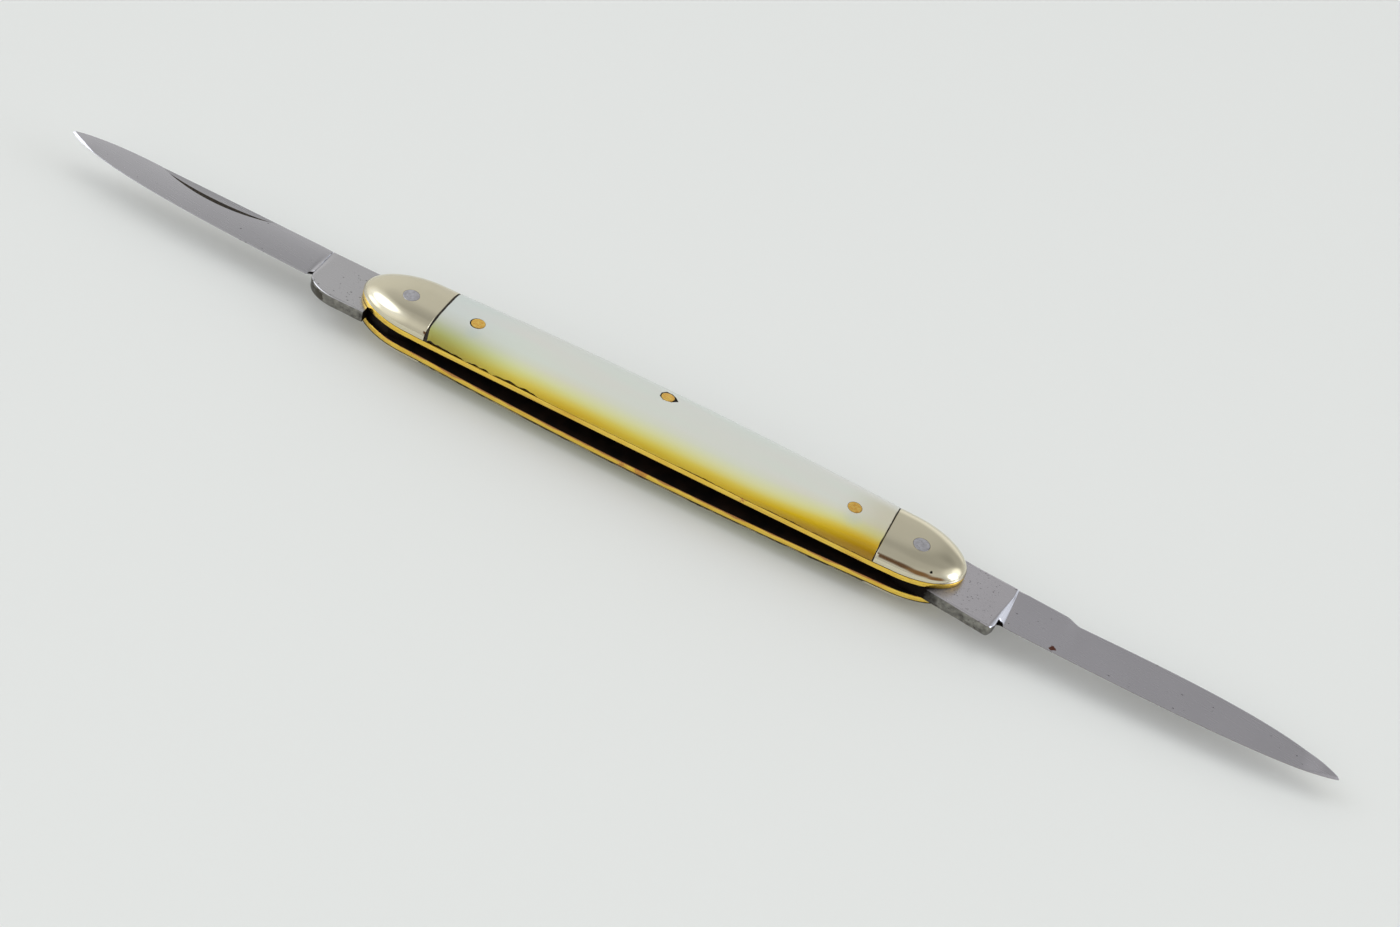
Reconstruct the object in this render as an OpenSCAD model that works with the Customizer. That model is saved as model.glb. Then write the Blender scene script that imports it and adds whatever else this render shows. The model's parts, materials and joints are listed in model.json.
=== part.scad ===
// Two-blade pen knife, both blades open, lying on its pile side.
// X runs along the handle, with the pen blade at +X and the master blade at -X.
// +Y is the spring edge, -Y the slot edge, +Z the mark side. Z = 0 is the table.
// Millimetres.

/* [Handle] */
// Length of the handle over its rounded ends
handle_length = 75; // [71:0.5:82]
// Width of the handle at its bolsters
end_width = 8.9; // [8.6:0.05:9.6]
// Width of the handle in the middle
middle_width = 9.96; // [9.7:0.05:10.8]
// Length of each rounded end
end_round = 7.5; // [6.5:0.1:8.5]
// Distance of each pivot from the end of the handle
pivot_inset = 5.7; // [5.2:0.05:6.2]
// Distance of the pivots below the middle line, towards the slot edge
pivot_drop = 0.78; // [0.5:0.02:0.95]

/* [Stack] */
// Width of the slot between the bolsters' ends of the liners
slot_end = 1.64; // [1.5:0.02:1.9]
// Width of the slot in the middle, where the liners bow apart
slot_middle = 2.36; // [2.2:0.02:2.8]
// Thickness of each brass liner
liner_thickness = 0.7; // [0.5:0.05:0.9]
// Height of the scales and bolsters above their liner
cover_height = 2.12; // [1.8:0.02:2.6]
// Height of their upright wall along the edge
edge_wall = 0.64; // [0.4:0.02:0.9]
// How square the crown is across, 2 is round
crown_power = 2.9; // [2:0.1:4]
// Depth of the flat worn on the crest of each scale
crest_flat = 0.04; // [0.02:0.01:0.1]

/* [Bolsters] */
// Length of each bolster along the handle
bolster_length = 9.7; // [9:0.1:11]
// Dirt gap between a bolster and its scale
joint_gap = 0.12; // [0.05:0.01:0.3]

/* [Pins] */
// Diameter of the steel pivot pins
pivot_pin = 1.9; // [1.5:0.05:2.2]
// Diameter of the brass pins that hold the scales
scale_pin = 1.65; // [1.2:0.05:2]
// Diameter of the brass pin that holds the spring
spring_pin = 1.55; // [1.2:0.05:1.8]
// Distance of each scale pin from the bolster's joint
scale_pin_inset = 4.3; // [2.5:0.1:7]
// Distance of the scale pins below the middle line
scale_pin_drop = 0.25; // [-1:0.05:1]
// Distance of the spring pin to the left of the middle
spring_pin_offset = 1; // [-2:0.1:2]
// Distance of the spring pin from the handle's back edge
spring_pin_inset = 1.98; // [1.6:0.02:2.2]

/* [Spring] */
// How far the spring reaches past each pivot to its stop face
spring_reach = 1.7; // [1.3:0.05:2]
// Length of the flat that rides on each tang, on the inner side of the pivot
pad_length = 2; // [1.5:0.1:2.5]
// How far the spring is hollowed between its flats and its middle
spring_hollow = 0.8; // [0.75:0.01:1]
// Distance from the spring pin's centre to the spring's inner edge
spring_belly = 1.3; // [1.1:0.05:1.6]
// Half length of the belly round the spring pin
belly_length = 4; // [2.5:0.1:6]

/* [Tangs] */
// Radius of the rounded butt of each tang, from its pivot
tang_radius = 2.9; // [2.7:0.02:3]
// Gap between a tang and each liner
tang_gap = 0.05; // [0.03:0.01:0.08]
// Running clearance between a tang's hole and its pin
pivot_gap = 0.03; // [0.02:0.005:0.05]
// Gap between a tang and the spring, on its flats and at its stop face
stop_gap = 0.03; // [0.02:0.005:0.05]

/* [Master blade] */
// Length from the pivot to the point
master_length = 46.6; // [43:0.1:48]
// Height of the spine above the pivot
master_spine = 4.1; // [3.8:0.02:4.2]
// Depth of the cutting edge below the pivot line
master_belly = 0.72; // [0.4:0.02:1.4]
// Height of the point above the pivot
master_point = 2.78; // [2:0.02:3]
// Length of the curve that runs down to the point
master_tip_curve = 10.6; // [8:0.1:14]
// Length of the tang from the pivot to the plunge line
master_ricasso = 12.35; // [11.6:0.05:12.6]
// Angle by which the shut blade stays short of a half turn
master_short = 1; // [0.5:0.1:1.2]
// Length of the tang's straight lower side
master_tang_flat = 8; // [7:0.1:9]

/* [Pen blade] */
// Length from the pivot to the point
pen_length = 50.7; // [47:0.1:51.5]
// Height of the spine above the pivot, at the spring
pen_spine = 4.2; // [3.9:0.02:4.4]
// Height of the spine at the plunge line
pen_spine_out = 3.6; // [3.4:0.02:3.7]
// Height of the spine past the step
pen_spine_low = 2.8; // [2.4:0.02:3]
// Depth of the cutting edge below the pivot line
pen_belly = 2.25; // [1.8:0.02:2.4]
// Height of the point above the pivot
pen_point = 0.2; // [-0.2:0.02:0.6]
// Distance of the step in the spine from the pivot
pen_step = 17.8; // [15:0.1:22]
// Length of the tang from the pivot to the plunge line
pen_ricasso = 12; // [11.6:0.05:12.4]
// Angle by which the shut blade stays short of a half turn
pen_short = 2.5; // [2.3:0.1:3]
// Distance of the kick's corner from the pivot
kick_reach = 10.4; // [9.6:0.1:10.8]
// Depth of the kick's corner below the pivot
kick_depth = 4.06; // [3.6:0.02:4.08]
// Top of the notch between the kick and the cutting edge
choil_top = 1.75; // [1:0.05:1.78]
// Radius of the flute along the plunge line, at the kick
flute_radius = 0.55; // [0.3:0.05:0.65]

/* [Grinding] */
// Thickness of a blade's spine at the tang
root_thickness = 1.44; // [1.2:0.02:1.46]
// Thickness of a blade at its point
tip_thickness = 0.25; // [0.15:0.01:0.3]
// Thickness of the cutting edge
edge_thickness = 0.08; // [0.05:0.01:0.12]
// How far a blade leans towards its own liner at its point
crink = 0.18; // [0.12:0.01:0.2]
// Width of a nail nick
nick_width = 14; // [10:0.5:15]
// Height of a nail nick's bow
nick_bow = 0.75; // [0.5:0.05:0.9]
// Depth of a nail nick below the blade's face
nick_depth = 0.22; // [0.1:0.01:0.25]

/* [Hidden] */
$fn = 64;

half_length = handle_length / 2;
pivot_x = half_length - pivot_inset;
pivot_y = -pivot_drop;
round_x = half_length - end_round;
joint_x = half_length - bolster_length;
half_width = end_width / 2;
swell = (middle_width - end_width) / 2;

// Height of the knife's middle plane above the table
mid_z = slot_middle / 2 + liner_thickness + cover_height - crest_flat;
tang_half = slot_end / 2 - tang_gap;
spring_pin_y = half_width + swell - spring_pin_inset;
scale_pin_x = joint_x - scale_pin_inset;

// Number of flats along the bowed faces, across the crown, and along a blade
bow_steps = 7;
crown_steps = 14;
blade_steps = 14;
// Angles of the outline's points round each end, and round the master tang's corner
end_angles = [0, 18, 34, 48, 60, 70, 79, 86];
corner_angles = [85:-12:1];
// Points that lie outside the knife on every side, and how far a cut runs through
far = handle_length;
through = 1;

// Length of the ramps that lead into the spring's hollow
hollow_ramp = 1.3;
// How far the ground blades start inside their tangs, and lie below the tangs' surface
root_overlap = 1;
skin_step = 0.03;
face_step = 0.02;
// Rise of the master's spine up to its bend, and fall of the pen's down to its step
master_rise = 0.1;
pen_fall = 0.17;
// Length of the step in the pen's spine, and its fall by half way
step_length = 1.4;
step_half_fall = 0.55;
// How far the choil rises above the cutting edge, and the kick's notch reaches past its corner
choil_lift = 0.3;
notch_reach = 0.9;
// Handles of the blades' curves: share of the way along, height above the curve's start
master_tip_handles = [[0.42, 0.15], [0.78, -0.25]];
master_edge_handles = [[0.42, 0], [0.86, 0.3]];
pen_back_handles = [[0.34, 0.5], [0.83, 1.4]];
pen_edge_handles = [[0.36, 0], [0.86, 0]];
// Places of the deepest points of the nail nicks, and how far the face lies below the spine
master_nick = [26.7, 2.85];
pen_nick = [30, 1.9];
nick_set = 0.06;
nick_facets = 240;
// Radius of the flute at its top, and its height as a share of the spine's
flute_tip = 0.05;
flute_share = 0.7;

function lerp(a, b, t) = a + (b - a) * t;
function bezier(p, t) =
    pow(1 - t, 3) * p[0] + 3 * t * pow(1 - t, 2) * p[1] + 3 * t * t * (1 - t) * p[2] + pow(t, 3) * p[3];
function curve(start, handles, finish, steps) =
    let (
        bends = [for (h = handles) [lerp(start[0], finish[0], h[0]), start[1] + h[1]]],
        points = concat([start], bends, [finish])
    )
    [for (i = [0:steps]) bezier(points, i / steps)];
function reversed(list) = [for (i = [len(list) - 1:-1:0]) list[i]];

// Half the handle's width, half the slot's width, and the top of a liner, at x
function width_at(x) =
    abs(x) <= round_x
        ? half_width + swell * (1 - pow(x / round_x, 2))
        : half_width * sqrt(max(0, 1 - pow((abs(x) - round_x) / end_round, 2)));
function slot_at(x) =
    slot_end / 2 + (slot_middle - slot_end) / 2 * max(0, 1 - pow(x / joint_x, 2));
function cover_base(x) = slot_at(x) + liner_thickness;

// How far out a point lies on the crown: 0 on the crest line, 1 at the edge
function spread(x, y) =
    abs(x) <= round_x
        ? abs(y) / width_at(x)
        : min(1, norm([(abs(x) - round_x) / end_round, y / half_width]));
function crown_at(x, y) =
    cover_base(x) + edge_wall + (cover_height - edge_wall) * (1 - pow(spread(x, y), crown_power));

bow_stations = [for (i = [-bow_steps:bow_steps]) joint_x * i / bow_steps];
end_stations = [for (a = end_angles) round_x + end_round * sin(a)];
side_stations = concat(reversed(-1 * end_stations), bow_stations, end_stations);
band_stations = concat([-far], bow_stations, [far]);

// Lofts a closed skin through sections that have the same number of points
module skin(sections) {
    n = len(sections[0]);
    last = len(sections) - 1;
    sides = [
        for (i = [0:last - 1], j = [0:n - 1])
            [i * n + j, (i + 1) * n + j, (i + 1) * n + (j + 1) % n, i * n + (j + 1) % n]
    ];
    ends = [[for (j = [0:n - 1]) j], [for (j = [n - 1:-1:0]) last * n + j]];
    polyhedron([for (s = sections, p = s) p], concat(sides, ends));
}

// The handle's outline seen from above, as a tall prism about the middle plane
module outline() {
    back = [for (x = side_stations) [x, width_at(x)]];
    front = [for (x = reversed(side_stations)) [x, -width_at(x)]];
    linear_extrude(far, center = true) polygon(concat(back, front));
}

// A wall across the knife between two heights that follow the bow of the liners
module band(low, high) {
    rotate([90, 0, 0])
        linear_extrude(far, center = true)
            polygon(concat(
                [for (x = band_stations) [x, slot_at(x) * high[0] + high[1]]],
                [for (x = reversed(band_stations)) [x, slot_at(x) * low[0] + low[1]]]
            ));
}

module mark_side() translate([0, 0, mid_z]) children();
module pile_side() translate([0, 0, mid_z]) mirror([0, 0, 1]) children();

// A hole or a pin at a place, between two heights
module round_bar(x, y, diameter, low, high) {
    translate([x, y, low]) cylinder(d = diameter, h = high - low);
}

module pivot_holes(low, high) {
    for (side = [-1, 1]) round_bar(side * pivot_x, pivot_y, pivot_pin, low, high);
}

module scale_pin_holes(low, high) {
    for (side = [-1, 1]) round_bar(side * scale_pin_x, -scale_pin_drop, scale_pin, low, high);
}

module spring_pin_hole(low, high) {
    round_bar(-spring_pin_offset, spring_pin_y, spring_pin, low, high);
}

module liner() {
    color("goldenrod")
        difference() {
            intersection() {
                outline();
                band([1, 0], [1, liner_thickness]);
            }
            pivot_holes(-far, far);
            scale_pin_holes(-far, far);
            spring_pin_hole(-far, far);
        }
}

// One cross-section of a crowned cover: flat below, upright at its walls, crowned above
function cover_section(x) =
    concat(
        [[x, -width_at(x), cover_base(x)]],
        [
            for (i = [0:crown_steps])
                let (y = width_at(x) * sin(180 * i / crown_steps - 90))
                [x, y, crown_at(x, y)]
        ],
        [[x, width_at(x), cover_base(x)]]
    );

module scale() {
    color("ivory")
        difference() {
            intersection() {
                skin([for (x = bow_stations) cover_section(x)]);
                translate([-far, -far, 0]) cube([2 * far, 2 * far, mid_z]);
            }
            scale_pin_holes(-far, far);
            spring_pin_hole(-far, far);
        }
}

// The bolster at the pen blade's end, on the mark side
module bolster() {
    color("lightgray")
        difference() {
            skin([for (x = concat([joint_x + joint_gap], end_stations)) cover_section(x)]);
            pivot_holes(-far, far);
        }
}

// The spring's inner edge: a flat on each tang, a hollow for the kicks, a belly round the pin
pad_y = pivot_y + tang_radius + stop_gap;
hollow_x = pivot_x - kick_reach;
module backspring() {
    end_x = pivot_x + spring_reach;
    pad_x = pivot_x - pad_length;
    inner = [
        [end_x, pad_y],
        [pad_x, pad_y],
        [hollow_x + hollow_ramp, pad_y + spring_hollow],
        [-spring_pin_offset + 2 * belly_length, pad_y + spring_hollow],
        [-spring_pin_offset + belly_length, spring_pin_y - spring_belly],
        [-spring_pin_offset - belly_length, spring_pin_y - spring_belly],
        [-spring_pin_offset - 2 * belly_length, pad_y + spring_hollow],
        [-hollow_x - hollow_ramp, pad_y + spring_hollow],
        [-pad_x, pad_y],
        [-end_x, pad_y],
    ];
    color("slategray")
        translate([0, 0, mid_z])
            difference() {
                intersection() {
                    outline();
                    band([-1, 0], [1, 0]);
                    linear_extrude(far, center = true)
                        polygon(concat(inner, [[-end_x, far], [end_x, far]]));
                }
                spring_pin_hole(-far, far);
            }
}

// Where a blade's outer face lies at its spine, and how thick it is there
function reach_of(u, root, length) = (u - root) / (length - root);
function outer_at(f) = tang_half - face_step + crink * f;
function thickness_at(f) = lerp(root_thickness, tip_thickness, f);

// One cross-section of a ground blade: a wedge from its spine to its cutting edge
function blade_section(s, e, root, length) =
    let (
        fs = reach_of(s[0], root, length),
        fe = reach_of(e[0], root, length),
        edge_z = outer_at(fe) - thickness_at(fe) / 2
    )
    [
        [s[0], s[1], outer_at(fs)],
        [e[0], e[1], edge_z + edge_thickness / 2],
        [e[0], e[1], edge_z - edge_thickness / 2],
        [s[0], s[1], outer_at(fs) - thickness_at(fs)],
    ];

module ground_blade(spine, edge, root, length) {
    skin([for (i = [0:len(spine) - 1]) blade_section(spine[i], edge[i], root, length)]);
}

// A tang about its pivot, along +X: rounded butt, notch for the spring, and its own outline
module tang(outline_points, short) {
    foot = tang_radius * [-sin(short), -cos(short)];
    translate([0, 0, -tang_half])
        difference() {
            union() {
                cylinder(r = tang_radius, h = 2 * tang_half);
                linear_extrude(2 * tang_half)
                    polygon(concat([foot, [0, 0], [0, tang_radius]], outline_points));
            }
            translate([0, 0, -through])
                cylinder(d = pivot_pin + 2 * pivot_gap, h = 2 * (tang_half + through));
        }
}

// The end of a tang's lower flat, which lies along the spring when the blade is shut
function flat_end(length, short) =
    tang_radius * [-sin(short), -cos(short)] + length * [cos(short), -sin(short)];

// A crescent nail nick on the outer face, its deepest point at a place on the blade, with
// a floor that climbs from there towards the spine
module nail_nick(place, root, length) {
    v = place[1];
    r = (pow(nick_width / 2, 2) + pow(nick_bow, 2)) / (2 * nick_bow);
    low = outer_at(reach_of(place[0], root, length)) - nick_set - nick_depth;
    climb = nick_depth / nick_bow;
    intersection() {
        translate([place[0], v + r, 0]) cylinder(r = r, h = tang_half + through, $fn = nick_facets);
        translate([place[0], 0, 0])
            rotate([90, 0, 90])
                linear_extrude(2 * nick_width, center = true)
                    polygon([
                        [v - through, low - through * climb],
                        [v + 2 * through, low + 2 * through * climb],
                        [v + 2 * through, tang_half + 2 * through],
                        [v - through, tang_half + 2 * through],
                    ]);
    }
}

module master_blade() {
    root = master_ricasso - root_overlap;
    top = master_spine - skin_step;
    bend = [master_length - master_tip_curve, top + master_rise];
    point = [master_length, master_point + edge_thickness];
    straight_steps = 6;
    spine = concat(
        [for (i = [0:straight_steps - 1]) lerp([root, top], bend, i / straight_steps)],
        curve(bend, master_tip_handles, point, blade_steps - straight_steps)
    );
    edge = curve(
        [root, -master_belly], master_edge_handles,
        [master_length, master_point - edge_thickness], blade_steps
    );
    notch = spring_reach + stop_gap;
    corner = flat_end(master_tang_flat, master_short);
    choil = master_belly - choil_lift;
    corner_size = [master_ricasso - corner[0], -corner[1] - choil];
    tang_points = concat(
        [
            [notch, tang_radius],
            [notch, master_spine],
            [master_ricasso, master_spine],
        ],
        [
            for (a = corner_angles)
                [corner[0] + corner_size[0] * sin(a), -choil - corner_size[1] * cos(a)]
        ],
        [corner]
    );
    color("gray")
        translate([-pivot_x, pivot_y, mid_z])
            mirror([1, 0, 0])
                difference() {
                    union() {
                        tang(tang_points, master_short);
                        ground_blade(spine, edge, root, master_length);
                    }
                    nail_nick(master_nick, root, master_length);
                }
}

module pen_blade() {
    root = pen_ricasso - root_overlap;
    top = pen_spine_out - skin_step;
    step_top = [pen_step, top - pen_fall];
    step_end = [pen_step + step_length, pen_spine_low];
    to_step = [
        [root, top],
        lerp([root, top], step_top, 0.5),
        step_top,
        [pen_step + step_length / 2, lerp(step_top[1], step_end[1], step_half_fall)],
    ];
    spine = concat(
        to_step,
        curve(
            step_end, pen_back_handles,
            [pen_length, pen_point + edge_thickness], blade_steps - len(to_step)
        )
    );
    edge = curve(
        [root, -pen_belly], pen_edge_handles,
        [pen_length, pen_point - edge_thickness], blade_steps
    );
    notch = spring_reach + stop_gap;
    tang_points = [
        [notch, tang_radius],
        [notch, pen_spine],
        [pen_ricasso, pen_spine_out],
        [pen_ricasso, -choil_top],
        [kick_reach + notch_reach, -choil_top],
        [kick_reach, -kick_depth],
        flat_end(pad_length, pen_short),
    ];
    flute_height = kick_depth + pen_spine_out * flute_share;
    color("dimgray")
        translate([pivot_x, pivot_y, mid_z])
            difference() {
                union() {
                    tang(tang_points, pen_short);
                    mirror([0, 0, 1]) ground_blade(spine, edge, root, pen_length);
                }
                mirror([0, 0, 1]) nail_nick(pen_nick, root, pen_length);
                for (side = [-1, 1])
                    translate([pen_ricasso, -kick_depth, side * tang_half])
                        rotate([-90, 0, 0])
                            cylinder(r1 = flute_radius, r2 = flute_tip, h = flute_height);
            }
}

// Pins end where the crown does, so that they stand flush
module pivot_pin_at(side) {
    top = crown_at(side * pivot_x, pivot_y);
    color("steelblue")
        round_bar(side * pivot_x, pivot_y, pivot_pin, mid_z - top, mid_z + top);
}

module spring_pin() {
    top = min(crown_at(spring_pin_offset, spring_pin_y), mid_z);
    color("gold") spring_pin_hole(mid_z - top, mid_z + top);
}

module scale_pins() {
    top = crown_at(scale_pin_x, scale_pin_drop);
    bottom = slot_at(scale_pin_x - scale_pin / 2);
    color("gold") scale_pin_holes(bottom, top);
}

module mark_liner() mark_side() liner();
module pile_liner() pile_side() liner();
module mark_scale() mark_side() scale();
module pile_scale() pile_side() scale();
module mark_pen_bolster() mark_side() bolster();
module pile_pen_bolster() pile_side() bolster();
module mark_master_bolster() mark_side() mirror([1, 0, 0]) bolster();
module pile_master_bolster() pile_side() mirror([1, 0, 0]) bolster();
module master_pivot_pin() pivot_pin_at(-1);
module pen_pivot_pin() pivot_pin_at(1);
module mark_scale_pins() mark_side() scale_pins();
module pile_scale_pins() pile_side() scale_pins();

mark_liner();
pile_liner();
backspring();
mark_scale();
pile_scale();
mark_master_bolster();
mark_pen_bolster();
pile_master_bolster();
pile_pen_bolster();
master_blade();
pen_blade();
master_pivot_pin();
pen_pivot_pin();
spring_pin();
mark_scale_pins();
pile_scale_pins();
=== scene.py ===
"""A two-blade pen knife with pearl scales, both blades open, lying on its pile side.

Shapes are worked out in millimetres, in the frame of the solid parts, and shrunk to
metres as each piece is finished. X runs along the handle towards the pen blade, +Y is
the spring's edge, and +Z the mark side, which shows.
"""
import json
import math

import bmesh
import bpy
import numpy as np
from mathutils import Matrix, Vector, noise


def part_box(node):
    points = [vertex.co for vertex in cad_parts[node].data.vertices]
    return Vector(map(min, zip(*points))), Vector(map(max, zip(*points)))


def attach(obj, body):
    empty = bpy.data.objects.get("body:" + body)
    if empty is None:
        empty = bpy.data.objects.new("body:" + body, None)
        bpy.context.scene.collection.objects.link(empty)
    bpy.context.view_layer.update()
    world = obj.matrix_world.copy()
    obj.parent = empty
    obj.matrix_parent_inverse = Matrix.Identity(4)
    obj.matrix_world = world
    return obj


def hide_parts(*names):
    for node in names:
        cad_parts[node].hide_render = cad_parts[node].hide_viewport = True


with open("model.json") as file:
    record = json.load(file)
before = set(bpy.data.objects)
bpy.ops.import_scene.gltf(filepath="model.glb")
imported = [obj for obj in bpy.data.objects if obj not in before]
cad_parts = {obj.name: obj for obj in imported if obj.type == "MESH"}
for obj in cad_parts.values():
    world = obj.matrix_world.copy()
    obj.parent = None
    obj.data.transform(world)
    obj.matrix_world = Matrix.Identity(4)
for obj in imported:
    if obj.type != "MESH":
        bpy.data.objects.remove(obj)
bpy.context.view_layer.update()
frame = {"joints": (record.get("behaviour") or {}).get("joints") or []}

MM = 0.001
MARK_SIDE = 1
PILE_SIDE = -1
MASTER_END = -1
PEN_END = 1
SIDES = ((MARK_SIDE, "mark"), (PILE_SIDE, "pile"))

# Sizes of the handle, from its solid parts
pivots = {joint["name"]: Vector(joint["pos_m"]) / MM for joint in frame["joints"]}
pivot_x = pivots["pen_hinge"].x
pivot_y = pivots["pen_hinge"].y
mid_z = pivots["pen_hinge"].z
half_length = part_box("mark_liner")[1].x / MM
joint_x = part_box("mark_scale")[1].x / MM
bolster_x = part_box("mark_pen_bolster")[0].x / MM
middle_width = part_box("mark_liner")[1].y / MM
top_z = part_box("mark_scale")[1].z / MM
slot_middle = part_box("backspring")[1].z / MM - mid_z
spring_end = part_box("backspring")[1].x / MM
liner_thickness = 0.7
slot_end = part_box("mark_scale")[0].z / MM - mid_z - liner_thickness
end_width = 4.45
end_round = 7.5
round_x = half_length - end_round

# The crown of the scales and bolsters above their liners: its wall, which is lower round the
# handle's ends, and its power and fullness
cover_height = top_z - mid_z - slot_middle - liner_thickness
edge_walls = {MARK_SIDE: 0.35, PILE_SIDE: 0.24}
wall_loss = 0.6
wall_falls_from = 29.0
wall_fall = 6.0
crown_forms = {MARK_SIDE: (4.0, 0.65), PILE_SIDE: (2.0, 1.0)}

# Pins: radius, place, and the gap round them in brass and in the spring
pivot_pin_radius = 0.95
scale_pin_radius = 0.825
spring_pin_radius = 0.775
scale_pin_place = (23.5, -0.25)
spring_pin_place = (-0.75, 2.4)
snug_gap = 0.005


def lerp(a, b, t):
    return a + (b - a) * t


def ease(t):
    """0 to 1 with a soft start and finish."""
    t = min(1.0, max(0.0, t))
    return t * t * (3 - 2 * t)


def window(x, start, finish, soft):
    """1 between start and finish, fading to 0 over a length on either side."""
    return ease((x - start) / soft + 1) * ease((finish - x) / soft + 1)


def steps(start, finish, size):
    """Evenly spaced values from start to finish, about a size apart."""
    count = max(1, math.ceil((finish - start) / size))
    return [lerp(start, finish, i / count) for i in range(count + 1)]


def ripple(x, pitch, row):
    """Smooth noise from -1 to 1 along a line, the same on every run."""
    return noise.noise(Vector((x / pitch, row, 0.5)))


def width_at(x):
    """Half the handle's width."""
    x = abs(x)
    if x <= round_x:
        return end_width + (middle_width - end_width) * (1 - (x / round_x) ** 2)
    return end_width * math.sqrt(max(0.0, 1 - ((x - round_x) / end_round) ** 2))


def slot_at(x):
    """Half the slot's width, where the liners bow apart."""
    return slot_end + (slot_middle - slot_end) * max(0.0, 1 - (x / joint_x) ** 2)


def cover_base(x):
    return slot_at(x) + liner_thickness


def crown_rise(spread, side, x=0.0):
    """Height of the crown above the liner: spread is 0 on the crest line, 1 at the edge."""
    wall = edge_walls[side] * (1 - wall_loss * ease((abs(x) - wall_falls_from) / wall_fall))
    power, fullness = crown_forms[side]
    return wall + (cover_height - wall) * (1 - spread ** power) ** fullness


def crown_at(x, y, side=MARK_SIDE):
    """Height of the crown above the middle plane."""
    if abs(x) <= round_x:
        spread = abs(y) / width_at(x)
    else:
        spread = math.hypot((abs(x) - round_x) / end_round, y / end_width)
    return cover_base(x) + crown_rise(min(1.0, spread), side, x)


# Meshes

def raw_mesh(points, faces, kinds=None):
    """A closed mesh in millimetres. kinds gives the material number of each face."""
    mesh = bpy.data.meshes.new("shape")
    mesh.from_pydata(points, [], faces)
    if kinds:
        mesh.polygons.foreach_set("material_index", kinds)
    shape = bmesh.new()
    shape.from_mesh(mesh)
    nearest = 1e-4
    bmesh.ops.remove_doubles(shape, verts=shape.verts, dist=nearest)
    bmesh.ops.dissolve_degenerate(shape, edges=shape.edges, dist=nearest)
    bmesh.ops.recalc_face_normals(shape, faces=shape.faces)
    shape.to_mesh(mesh)
    shape.free()
    return mesh


def loft(sections, kinds=None):
    """A skin through closed sections of equal counts, with flat ends. kinds gives the
    material number of each strip along the skin."""
    n = len(sections[0])
    points = [p for section in sections for p in section]
    faces = []
    numbers = []
    for i in range(len(sections) - 1):
        for j in range(n):
            k = (j + 1) % n
            faces.append((i * n + j, (i + 1) * n + j, (i + 1) * n + k, i * n + k))
            numbers.append(kinds[j] if kinds else 0)
    last = (len(sections) - 1) * n
    faces += [tuple(range(n)), tuple(range(last, last + n))]
    return raw_mesh(points, faces, numbers + [0, 0])


def stack(loops, kinds):
    """Loops that mirror about Y = 0, one on the next, closed below and above. kinds gives
    the material number of the floor, of each side strip, and of the roof."""
    n = len(loops[0])
    points = [p for loop in loops for p in loop]
    faces = []
    numbers = []
    for i in range(len(loops) - 1):
        for j in range(n):
            k = (j + 1) % n
            faces.append((i * n + j, i * n + k, (i + 1) * n + k, (i + 1) * n + j))
            numbers.append(kinds[i + 1])
    for base, kind in ((0, kinds[0]), ((len(loops) - 1) * n, kinds[-1])):
        for j in range(n // 2):
            face = [base + j, base + j + 1, base + n - j - 1]
            if 0 < j:
                face.append(base + n - j)
            if j == n // 2 - 1:
                face.pop(2)
            faces.append(tuple(face))
            numbers.append(kind)
    return raw_mesh(points, faces, numbers)


def joined(*meshes):
    """Several closed meshes as one."""
    shape = bmesh.new()
    for mesh in meshes:
        shape.from_mesh(mesh)
    whole = bpy.data.meshes.new("shape")
    shape.to_mesh(whole)
    shape.free()
    return whole


def cut(mesh, tool, kind=None):
    """mesh less the space of tool. The cut faces keep the tool's material numbers, or get one."""
    if kind is not None:
        tool.polygons.foreach_set("material_index", [kind] * len(tool.polygons))
    body = bpy.data.objects.new("body", mesh)
    cutter = bpy.data.objects.new("cutter", tool)
    for o in (body, cutter):
        bpy.context.scene.collection.objects.link(o)
    boolean = body.modifiers.new("cut", "BOOLEAN")
    boolean.operation = "DIFFERENCE"
    boolean.solver = "EXACT"
    boolean.object = cutter
    result = bpy.data.meshes.new_from_object(body.evaluated_get(bpy.context.evaluated_depsgraph_get()))
    for o in (body, cutter):
        bpy.data.objects.remove(o)
    return result


def prism(outline, low, high):
    """A straight-sided shape over an outline. low is a height, or gives it at a point."""
    floor = low if callable(low) else lambda x, y: low
    return loft([[(x, y, floor(x, y)) for x, y in outline], [(x, y, high) for x, y in outline]])


def ring(x, y, radius, count=64):
    """Points round a circle."""
    angles = [2 * math.pi * i / count for i in range(count)]
    return [(x + radius * math.cos(a), y + radius * math.sin(a)) for a in angles]


def through(x, y, radius):
    """A round cutter that passes right through the knife."""
    return prism(ring(x, y, radius), -2 * top_z, 2 * top_z)


def rubbed(edge):
    """(inset, drop) points down an edge that is rubbed round."""
    angles = [math.radians(a) for a in (0, 30, 60, 90)]
    return [(edge * (1 - math.sin(a)), edge * (1 - math.cos(a))) for a in angles]


def placed(mesh, side=MARK_SIDE, end=PEN_END, at=(0, 0)):
    """The mesh turned to its side and end of the knife, about the middle plane."""
    mesh.transform(Matrix.Diagonal((end, 1, side, 1)))
    mesh.transform(Matrix.Translation((at[0], at[1], mid_z)))
    if side * end < 0:
        mesh.flip_normals()
    return mesh


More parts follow.
